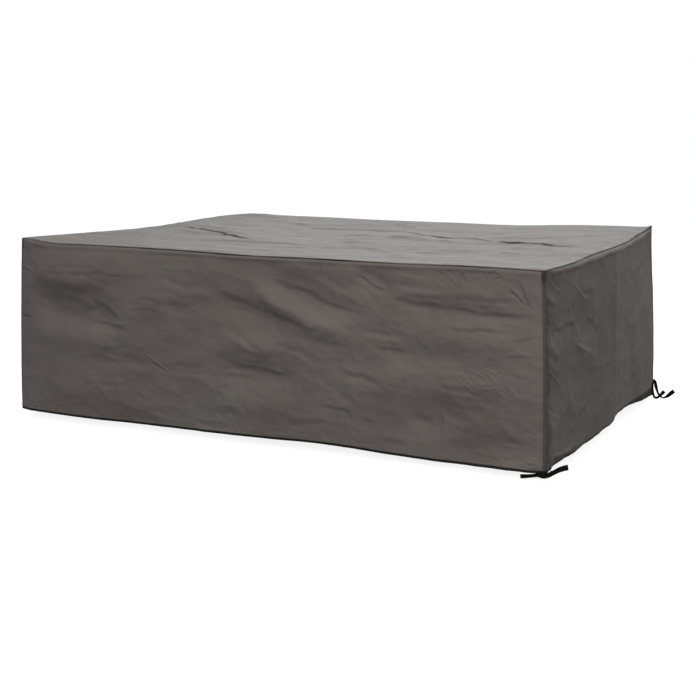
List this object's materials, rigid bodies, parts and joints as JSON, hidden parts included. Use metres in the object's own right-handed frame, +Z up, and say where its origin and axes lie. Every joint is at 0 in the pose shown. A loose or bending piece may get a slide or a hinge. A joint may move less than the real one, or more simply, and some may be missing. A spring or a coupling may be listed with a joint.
{
  "type": "patio furniture cover",
  "caption": "Fitted box-shaped cloth cover for a long low garden lounge set, hanging slack with creased walls, sewn corner seams, turned hems and black webbing ties at one end.",
  "frame": {"origin": "middle of the underside of the top panel, where it rests on the furniture that it covers", "axes": "+X along the long front towards the end with the ties, -Y out of the long front, +Z up"},
  "size_m": [2.3407, 1.4828, 0.7374],
  "materials": {
    "cloth": "matte coated woven polyester, warm taupe grey",
    "webbing": "matte black woven webbing"
  },
  "bodies": {
    "root": {"top_panel": "cloth", "front_panel": "cloth", "right_panel": "cloth", "back_panel": "cloth", "left_panel": "cloth", "tie_front_right_a": "webbing", "tie_front_right_b": "webbing", "tie_back_right_a": "webbing", "tie_back_right_b": "webbing"}
  },
  "joints": []
}
